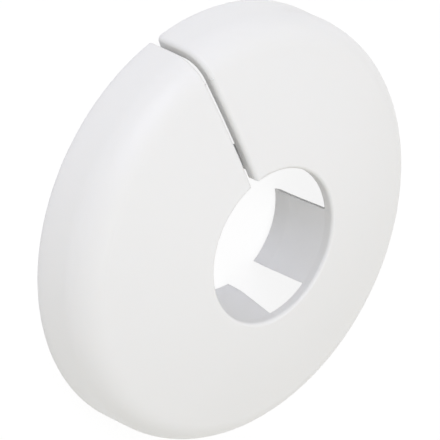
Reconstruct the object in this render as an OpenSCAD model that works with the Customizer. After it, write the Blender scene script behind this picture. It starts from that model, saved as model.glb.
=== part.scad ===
// Split pipe rosette: a cover ring for a heating or water pipe that comes out of a wall.
// It is one moulded piece. The slit lets it spring open and go round a pipe that is
// already fitted, and the tongues round the bore then hold it on the pipe.
// Millimetres, +Z away from the wall, slit along +Y, origin in the middle of the wall face.

/* [Ring] */
// Diameter of the ring at the wall
outer_d = 65; // [58:1:90]
// Height of the front above the wall, at the edge of the bore
front_h = 11.7; // [10:0.1:16]
// Radius of the domed front
dome_r = 130; // [90:5:300]
// Radius of the shoulder between the front and the outer wall
shoulder_r = 4.8; // [3:0.1:7]
// Draft of the outer wall, in degrees
wall_draft = 5; // [2:0.5:8]
// Thickness of the front and of the outer wall
wall_t = 1.6; // [1.2:0.1:2.2]

/* [Bore] */
// Diameter of the pipe that the tongues grip
pipe_d = 21.3; // [15:0.1:28]
// Gap between the pipe and the edge of the bore
bore_gap = 0.85; // [0.6:0.05:1.5]
// Radius on the front edge of the bore
bore_edge_r = 0.5; // [0.2:0.05:0.8]

/* [Slit] */
// Width of the slit
slit_w = 0.9; // [0.5:0.1:2]
// Radius on the outer edges of the slit
slit_edge_r = 0.7; // [0.3:0.1:1]
// Radius of the slit's corners where it runs into the bore
mouth_r = 0.9; // [0.3:0.1:1.5]

/* [Tongues] */
// Width of the two broad tongues opposite the slit
tongue_w = 11.4; // [6:0.1:14]
// Angle between each broad tongue and the line of the slit, in degrees
tongue_angle = 47.5; // [38:0.5:60]
// Width of the narrow tongue on each side of the slit
slit_tongue_w = 5; // [3:0.5:6]
// Angle between each narrow tongue and the slit, in degrees
slit_tongue_angle = 25; // [22:1:32]
// Thickness of the tongues
tongue_t = 1.2; // [0.8:0.1:1.6]
// Length of the straight end of each tongue, which lies against the pipe
grip_len = 3; // [2:0.5:4]
// Distance of the tips from the wall
tip_gap = 0.4; // [0.3:0.1:2]
// Chamfer on the tips
tip_chamfer = 0.3; // [0.1:0.05:0.35]
// Radius where the back of a tongue meets the front
root_r = 0.8; // [0.4:0.1:1.2]

/* [Hidden] */
$fn = 180;
outer_r = outer_d / 2;
grip_r = pipe_d / 2;
bore_r = grip_r + bore_gap;

// Height of the dome's centre, far behind the wall
dome_z = front_h - sqrt(pow(dome_r, 2) - pow(bore_r, 2));

// Centre of the shoulder's arc, which touches both the outer wall and the dome
slope = tan(wall_draft);
shoulder_a = outer_r - shoulder_r / cos(wall_draft);
shoulder_b = shoulder_a * slope + dome_z;
shoulder_c = pow(shoulder_a, 2) + pow(dome_z, 2) - pow(dome_r - shoulder_r, 2);
shoulder_z = (shoulder_b + sqrt(pow(shoulder_b, 2) - (1 + pow(slope, 2)) * shoulder_c))
    / (1 + pow(slope, 2));
shoulder_c_r = shoulder_a - slope * shoulder_z;

// Height of the dome at radius r, for a skin that lies deep below the outside
function dome_h(r, deep = 0) = dome_z + sqrt(pow(dome_r - deep, 2) - pow(r, 2));

// Underside of the front at the bore, where the tongues begin
root_z = dome_h(bore_r, wall_t);
grip_z = tip_gap + grip_len;

// Cut arcs are a touch larger than their rounding, so that they cross the faces they meet
crossing = 1.02;

// Radius at which a sweep is as good as straight
straight_r = 400;

// Angle by which two sweeps overlap where they meet, so that no seam stays between them
overlap = 0.01;

// Half section of all that lies under a skin, from the height base upwards
module under_skin(deep, base) {
    arc_r = shoulder_r - deep;
    spread = shoulder_c_r / (shoulder_z - dome_z);
    touch = [shoulder_c_r + arc_r * cos(wall_draft), shoulder_z + arc_r * sin(wall_draft)];
    foot_r = touch.x + (touch.y - base) * slope;
    top = 2 * front_h;
    intersection() {
        translate([0, dome_z]) circle(r = dome_r - deep, $fn = 720);
        polygon([
            [0, base], [spread * (base - dome_z), base],
            [spread * (top - dome_z), top], [0, top]
        ]);
    }
    translate([shoulder_c_r, shoulder_z]) intersection() {
        circle(r = arc_r);
        translate([-1, -1]) square(shoulder_r + 2);
    }
    polygon([[0, base], [foot_r, base], touch, [shoulder_c_r, shoulder_z]]);
}

// Half section of the air in the bore, with the rounded front edge
module bore_section() {
    edge_c = [bore_r + bore_edge_r, dome_h(bore_r + bore_edge_r, bore_edge_r)];
    lift = (front_h + 2 - dome_z) / (edge_c.y - dome_z);
    translate([-1, -1]) square([bore_r + 1, front_h + 3]);
    difference() {
        polygon([
            [bore_r - 1, edge_c.y], edge_c,
            [edge_c.x * lift, front_h + 2], [bore_r - 1, front_h + 2]
        ]);
        translate(edge_c) circle(r = bore_edge_r, $fn = 60);
    }
}

// Closed ring: domed front, shoulder and outer wall, open at the back
module ring() {
    rotate_extrude() difference() {
        under_skin(0, 0);
        under_skin(wall_t, -1);
        bore_section();
    }
}

// Section of a tongue, which leans in from the edge of the bore to the pipe
module tongue_section() {
    tip = tip_gap;
    cut = tip_chamfer;
    back = tongue_t;
    polygon([
        [bore_r, root_z + wall_t / 2], [bore_r, root_z],
        [grip_r, grip_z], [grip_r, tip + cut], [grip_r + cut, tip],
        [grip_r + back - cut, tip], [grip_r + back, tip + cut], [grip_r + back, grip_z],
        [bore_r + back, root_z - root_r], [bore_r + back, root_z + wall_t / 2]
    ]);
    difference() {
        translate([bore_r + back / 2, root_z - root_r])
            square([back / 2 + root_r, root_r + wall_t / 3]);
        translate([bore_r + back + root_r, root_z - root_r]) circle(r = root_r, $fn = 60);
        translate([bore_r + back + root_r, root_z - 2 * root_r]) square([root_r, root_r]);
    }
}

// One tongue of width w, in the direction angle
module tongue(angle, w) {
    rotate([0, 0, angle]) intersection() {
        rotate_extrude() tongue_section();
        translate([0, -w / 2, 0]) cube([outer_r, w, front_h]);
    }
}

// Plan of the slit, from the bore to past the rim, with rounded corners at the bore
module slit_plan() {
    side = slit_w / 2 + mouth_r;
    corner = [side, sqrt(pow(bore_r + mouth_r, 2) - pow(side, 2))];
    touch = corner * bore_r / (bore_r + mouth_r);
    translate([-slit_w / 2, bore_r / 2]) square([slit_w, outer_r]);
    for (s = [0, 1]) mirror([s, 0]) difference() {
        polygon([[0, corner.y], corner, touch, [touch.x, bore_r * 0.95], [0, bore_r * 0.95]]);
        translate(corner) circle(r = crossing * mouth_r, $fn = 60);
    }
}

// Section across the slit's rounded edges, at the distance skin from the sweep's axis
module slit_section(skin) {
    edge = slit_w / 2 + slit_edge_r;
    low = skin - slit_edge_r;
    difference() {
        translate([low, -edge]) square([slit_edge_r + 1, 2 * edge]);
        for (s = [-1, 1]) translate([low, s * edge]) circle(r = crossing * slit_edge_r, $fn = 60);
    }
}

// Sweeps a section round a centre in the plane of the slit, between two angles above +Y
module sweep_round(centre, from, to) {
    translate([0, centre.x, centre.y]) rotate([0, 90, 0]) rotate([0, 0, from + 90])
        rotate_extrude(angle = to - from) children();
}

// The slit with its rounded edges, which follow the front, the shoulder and the outer wall.
// A very large circle stands in for the straight outer wall.
module slit() {
    shoulder = [shoulder_c_r, shoulder_z];
    touch = atan2(shoulder_z - dome_z, shoulder_c_r);
    wall_c = shoulder - straight_r * [cos(wall_draft), sin(wall_draft)];
    foot = wall_draft - asin((shoulder_z + shoulder_r) / straight_r);
    sweep_round([0, dome_z], touch, acos(bore_r / 2 / dome_r), $fn = 720)
        slit_section(dome_r);
    sweep_round(shoulder, wall_draft, touch)
        slit_section(shoulder_r);
    sweep_round(wall_c, foot, wall_draft + overlap, $fn = 720)
        slit_section(straight_r + shoulder_r);
    translate([0, 0, -1]) linear_extrude(front_h + 3) slit_plan();
}

// The whole rosette
module rosette() {
    color("white") difference() {
        union() {
            ring();
            for (s = [-1, 1]) {
                tongue(-90 + s * tongue_angle, tongue_w);
                tongue(90 + s * slit_tongue_angle, slit_tongue_w);
            }
        }
        slit();
    }
}

rosette();
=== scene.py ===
"""Studio picture of a split pipe rosette, a white cover ring with one slit."""

import logging
import math
from dataclasses import dataclass, field
from enum import Enum

import bpy
from mathutils import Matrix, Vector

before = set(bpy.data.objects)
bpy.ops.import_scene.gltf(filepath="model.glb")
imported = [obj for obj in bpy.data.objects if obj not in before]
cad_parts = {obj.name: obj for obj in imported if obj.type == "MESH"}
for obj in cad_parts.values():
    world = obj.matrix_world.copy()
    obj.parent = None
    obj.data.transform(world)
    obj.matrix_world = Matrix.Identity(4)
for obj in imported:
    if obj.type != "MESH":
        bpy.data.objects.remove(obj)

log = logging.getLogger("rosette")

Colour = tuple[float, float, float]
Point = tuple[float, float, float]
Tree = bpy.types.NodeTree
Socket = bpy.types.NodeSocket

WHITE: Colour = (1.0, 1.0, 1.0)


class Ray(Enum):
    """The kinds of ray that see the plain white surroundings."""

    CAMERA = "Is Camera Ray"
    GLOSSY = "Is Glossy Ray"
    TRANSMISSION = "Is Transmission Ray"


def opaque(colour: Colour) -> tuple[float, float, float, float]:
    """Gives a colour the fourth number that a socket takes."""
    return (*colour, 1.0)


def seen_by(tree: Tree, rays: tuple[Ray, ...]) -> Socket:
    """Adds nodes that give 1 for the named rays and 0 for all others.

    Args:
        tree: Node tree that gets the nodes.
        rays: The rays to pick out.

    Returns:
        The socket that carries the answer.
    """
    path = tree.nodes.new("ShaderNodeLightPath")
    answer = path.outputs[rays[0].value]
    for ray in rays[1:]:
        either = tree.nodes.new("ShaderNodeMath")
        either.operation = "MAXIMUM"
        tree.links.new(answer, either.inputs[0])
        tree.links.new(path.outputs[ray.value], either.inputs[1])
        answer = either.outputs[0]
    return answer


def two_tone(tree: Tree, first: Colour, second: Colour, share: Socket) -> Socket:
    """Adds a node that mixes two colours.

    Args:
        tree: Node tree that gets the node.
        first: Colour where the share is 0, linear.
        second: Colour where the share is 1, linear.
        share: Socket with the share of the second colour.

    Returns:
        The socket with the mixed colour.
    """
    mix = tree.nodes.new("ShaderNodeMix")
    mix.data_type = "RGBA"
    mix.inputs["A"].default_value = opaque(first)
    mix.inputs["B"].default_value = opaque(second)
    tree.links.new(share, mix.inputs["Factor"])
    return mix.outputs["Result"]


@dataclass(frozen=True)
class MouldedPlastic:
    """White moulded polypropylene with a soft sheen.

    Attributes:
        name: Name of the material.
        colour: Colour of the plastic, linear.
        shade: Second colour, slightly darker, that clouds the first.
        clouds: How many of these clouds fit in a metre.
        cloud_detail: How many finer layers the clouds have.
        roughness: Middle roughness of the surface.
        spread: How far the roughness goes up and down.
        grain: Size of the mould's fine texture, in metres.
        grain_detail: How many finer layers the texture has.
        relief: Height of the texture, in metres.
        bite: Share of that height that shows.
        ior: Index of refraction.
        depth: Weight of the light that goes into the plastic and out again.
        reach: How far that light goes, in metres.
        bleed: Share of that distance for red, green and blue.
    """

    name: str = "white_plastic"
    colour: Colour = (0.9, 0.9, 0.895)
    shade: Colour = (0.88, 0.88, 0.872)
    clouds: float = 60.0
    cloud_detail: float = 3.0
    roughness: float = 0.42
    spread: float = 0.05
    grain: float = 0.0007
    grain_detail: float = 4.0
    relief: float = 0.000004
    bite: float = 0.6
    ior: float = 1.49
    depth: float = 0.2
    reach: float = 0.001
    bleed: tuple[float, float, float] = (1.0, 0.95, 0.9)

    def make(self) -> bpy.types.Material:
        """Makes the node material.

        Returns:
            The material, with colour, roughness and bump from its nodes.
        """
        mat = bpy.data.materials.new(self.name)
        mat.use_nodes = True
        tree = mat.node_tree
        bsdf = tree.nodes["Principled BSDF"]
        bsdf.inputs["IOR"].default_value = self.ior
        bsdf.inputs["Subsurface Weight"].default_value = self.depth
        bsdf.inputs["Subsurface Radius"].default_value = self.bleed
        bsdf.inputs["Subsurface Scale"].default_value = self.reach
        clouds = self.noise(tree, self.clouds, self.cloud_detail)
        fine = self.noise(tree, 1.0 / self.grain, self.grain_detail)
        tone = two_tone(tree, self.colour, self.shade, clouds)
        tree.links.new(tone, bsdf.inputs["Base Color"])
        tree.links.new(self.gloss(tree, fine), bsdf.inputs["Roughness"])
        tree.links.new(self.skin(tree, fine), bsdf.inputs["Normal"])
        return mat

    def noise(self, tree: Tree, scale: float, detail: float) -> Socket:
        """Adds a noise that stays in place on the ring.

        Args:
            tree: Node tree that gets the nodes.
            scale: How many of its spots fit in a metre.
            detail: How many finer layers it has.

        Returns:
            The socket with the noise.
        """
        place = tree.nodes.new("ShaderNodeTexCoord")
        noise = tree.nodes.new("ShaderNodeTexNoise")
        noise.inputs["Scale"].default_value = scale
        noise.inputs["Detail"].default_value = detail
        tree.links.new(place.outputs["Object"], noise.inputs["Vector"])
        return noise.outputs["Fac"]

    def gloss(self, tree: Tree, fine: Socket) -> Socket:
        """Turns the fine texture into roughness.

        Args:
            tree: Node tree that gets the node.
            fine: Socket with the fine texture.

        Returns:
            The socket with the roughness.
        """
        gloss = tree.nodes.new("ShaderNodeMapRange")
        gloss.inputs["To Min"].default_value = self.roughness - self.spread
        gloss.inputs["To Max"].default_value = self.roughness + self.spread
        tree.links.new(fine, gloss.inputs["Value"])
        return gloss.outputs["Result"]

    def skin(self, tree: Tree, fine: Socket) -> Socket:
        """Turns the fine texture into the relief that the mould leaves.

        Args:
            tree: Node tree that gets the node.
            fine: Socket with the fine texture.

        Returns:
            The socket with the normal.
        """
        bump = tree.nodes.new("ShaderNodeBump")
        bump.inputs["Strength"].default_value = self.bite
        bump.inputs["Distance"].default_value = self.relief
        tree.links.new(fine, bump.inputs["Height"])
        return bump.outputs["Normal"]


@dataclass(frozen=True)
class WhiteFloor:
    """Matt white studio floor, which looks white itself and still takes a shadow.

    Attributes:
        name: Name of the material.
        colour: Colour that throws light back on the ring, linear.
        shaded: Colour that the camera and mirrored rays see the shadow on, linear.
        lift: White that is added to it for the same rays.
        roughness: Roughness of the floor.
        sheen: Strength of its mirrored light, which a matt floor hasn't.
    """

    name: str = "white_floor"
    colour: Colour = (0.92, 0.92, 0.92)
    shaded: Colour = (0.12, 0.12, 0.12)
    lift: float = 0.9
    roughness: float = 0.9
    sheen: float = 0.0

    def make(self) -> bpy.types.Material:
        """Makes the node material.

        Returns:
            The material of the floor.
        """
        mat = bpy.data.materials.new(self.name)
        mat.use_nodes = True
        tree = mat.node_tree
        bsdf = tree.nodes["Principled BSDF"]
        bsdf.inputs["Roughness"].default_value = self.roughness
        bsdf.inputs["Specular IOR Level"].default_value = self.sheen
        bsdf.inputs["Emission Color"].default_value = opaque(WHITE)
        seen = seen_by(tree, (Ray.CAMERA, Ray.GLOSSY, Ray.TRANSMISSION))
        cover = two_tone(tree, self.colour, self.shaded, seen)
        tree.links.new(cover, bsdf.inputs["Base Color"])
        power = tree.nodes.new("ShaderNodeMath")
        power.operation = "MULTIPLY"
        power.inputs[1].default_value = self.lift
        tree.links.new(seen, power.inputs[0])
        tree.links.new(power.outputs[0], bsdf.inputs["Emission Strength"])
        return mat


@dataclass
class Ring:
    """The moulded ring itself: front, shoulder, outer wall, slit and tongues.

    Attributes:
        node: Name of the solid.
        finish: Finish of the plastic.
    """

    node: str = "rosette"
    finish: MouldedPlastic = field(default_factory=MouldedPlastic)

    def build(self) -> bpy.types.Object:
        """Dresses the solid in its plastic.

        Returns:
            The ring.
        """
        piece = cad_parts[self.node]
        plastic = self.finish.make()
        for seat in piece.material_slots:
            seat.material = plastic
        log.info("%s wears %s", piece.name, plastic.name)
        return piece


@dataclass
class Floor:
    """The plain floor that the ring lies on.

    Attributes:
        half: Half the side of the floor, in metres.
        drop: How far the floor lies under the ring, in metres.
        finish: Finish of the floor.
    """

    half: float = 1.2
    drop: float = 0.00002
    finish: WhiteFloor = field(default_factory=WhiteFloor)

    def build(self) -> bpy.types.Object:
        """Makes the floor.

        Returns:
            The floor.
        """
        mesh = bpy.data.meshes.new("floor")
        h, z = self.half, -self.drop
        mesh.from_pydata([(-h, -h, z), (h, -h, z), (h, h, z), (-h, h, z)], [], [(0, 1, 2, 3)])
        mesh.materials.append(self.finish.make())
        floor = bpy.data.objects.new("floor", mesh)
        bpy.context.scene.collection.objects.link(floor)
        log.info("floor of %.1f m", 2 * h)
        return floor


@dataclass(frozen=True)
class SoftBox:
    """One large square lamp that looks at the ring.

    Attributes:
        name: Name of the lamp.
        place: Where it stands, in metres.
        watts: Its power.
        colour: Its colour, linear.
        side: Length of its side, in metres.
    """

    name: str
    place: Point
    watts: float
    colour: Colour
    side: float = 0.6

    def build(self) -> bpy.types.Object:
        """Makes the lamp.

        Returns:
            The lamp, turned to the ring.
        """
        data = bpy.data.lights.new(self.name, "AREA")
        data.shape, data.size = "SQUARE", self.side
        data.energy, data.color = self.watts, self.colour
        lamp = bpy.data.objects.new(self.name, data)
        lamp.location = self.place
        lamp.rotation_mode = "QUATERNION"
        lamp.rotation_quaternion = Vector(self.place).to_track_quat("Z", "Y")
        bpy.context.scene.collection.objects.link(lamp)
        log.info("lamp %s of %.2f W", self.name, self.watts)
        return lamp


@dataclass
class Studio:
    """White surroundings and soft lamps.

    Attributes:
        air: Strength of the even light from all sides.
        tint: Its colour, linear.
        backdrop: Strength of the white that the camera sees in its place.
        lamps: The soft boxes.
    """

    air: float = 0.6
    tint: Colour = (1.0, 0.985, 0.94)
    backdrop: float = 1.0
    lamps: tuple[SoftBox, ...] = (
        SoftBox("key", (0.0, 0.636, 0.636), 2.85, (0.8, 0.82, 1.0)),
        SoftBox("top", (0.0, 0.0, 0.9), 1.05, (1.0, 1.0, 0.85)),
        SoftBox("fill", (0.45, -0.45, 0.636), 0.55, (0.92, 0.9, 1.0)),
    )

    def build(self) -> None:
        """Makes the world and the lamps."""
        world = bpy.data.worlds.new("studio_air")
        bpy.context.scene.world = world
        world.use_nodes = True
        nodes, links = world.node_tree.nodes, world.node_tree.links
        even = nodes["Background"]
        even.inputs["Color"].default_value = opaque(self.tint)
        even.inputs["Strength"].default_value = self.air
        white = nodes.new("ShaderNodeBackground")
        white.inputs["Color"].default_value = opaque(WHITE)
        white.inputs["Strength"].default_value = self.backdrop
        mix = nodes.new("ShaderNodeMixShader")
        links.new(seen_by(world.node_tree, (Ray.CAMERA, Ray.TRANSMISSION)), mix.inputs[0])
        links.new(even.outputs[0], mix.inputs[1])
        links.new(white.outputs[0], mix.inputs[2])
        links.new(mix.outputs[0], nodes["World Output"].inputs["Surface"])
        log.info("even light of strength %.2f", self.air)
        for lamp in self.lamps:
            lamp.build()


@dataclass(frozen=True)
class Viewpoint:
    """The camera, which looks down on the ring and is turned about its own line of sight.

    Attributes:
        aim: Point that it looks at, in metres.
        reach: Distance from that point, in metres.
        azimuth: Direction from the aim to the camera, from +X towards +Y, in degrees.
        height: Angle of the camera above the floor, in degrees.
        roll: Turn about the line of sight, in degrees.
        lens: Focal length, in millimetres.
        sensor: Width of the sensor, in millimetres.
        near: Nearest distance that it shows, in metres.
        far: Furthest distance that it shows, in metres.
    """

    aim: Point = (-0.00365, 0.00567, 0.006)
    reach: float = 0.20852
    azimuth: float = 123.19
    height: float = 41.45
    roll: float = 115.71
    lens: float = 122.73
    sensor: float = 36.0
    near: float = 0.01
    far: float = 10.0

    def build(self) -> bpy.types.Object:
        """Makes the camera and gives it to the scene.

        Returns:
            The camera.
        """
        a, e, r = (math.radians(v) for v in (self.azimuth, self.height, self.roll))
        back = Vector((math.cos(a) * math.cos(e), math.sin(a) * math.cos(e), math.sin(e)))
        level = (-back).cross(Vector((0, 0, 1))).normalized()
        rise = level.cross(-back)
        right = level * math.cos(r) + rise * math.sin(r)
        up = back.cross(right)
        turn = Matrix((right, up, back)).transposed().to_4x4()
        data = bpy.data.cameras.new("camera")
        data.lens, data.sensor_width = self.lens, self.sensor
        data.clip_start, data.clip_end = self.near, self.far
        camera = bpy.data.objects.new("camera", data)
        camera.matrix_world = Matrix.Translation(Vector(self.aim) + back * self.reach) @ turn
        bpy.context.scene.collection.objects.link(camera)
        bpy.context.scene.camera = camera
        log.info("camera with a %.0f mm lens", self.lens)
        return camera


def main() -> None:
    """Builds the picture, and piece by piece."""
    logging.basicConfig(level=logging.INFO, format="%(name)s: %(message)s")
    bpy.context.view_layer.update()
    bpy.context.scene.view_settings.view_transform = "Standard"
    Viewpoint().build()
    Studio().build()
    Floor().build()
    Ring().build()


if __name__ == "__main__":
    main()
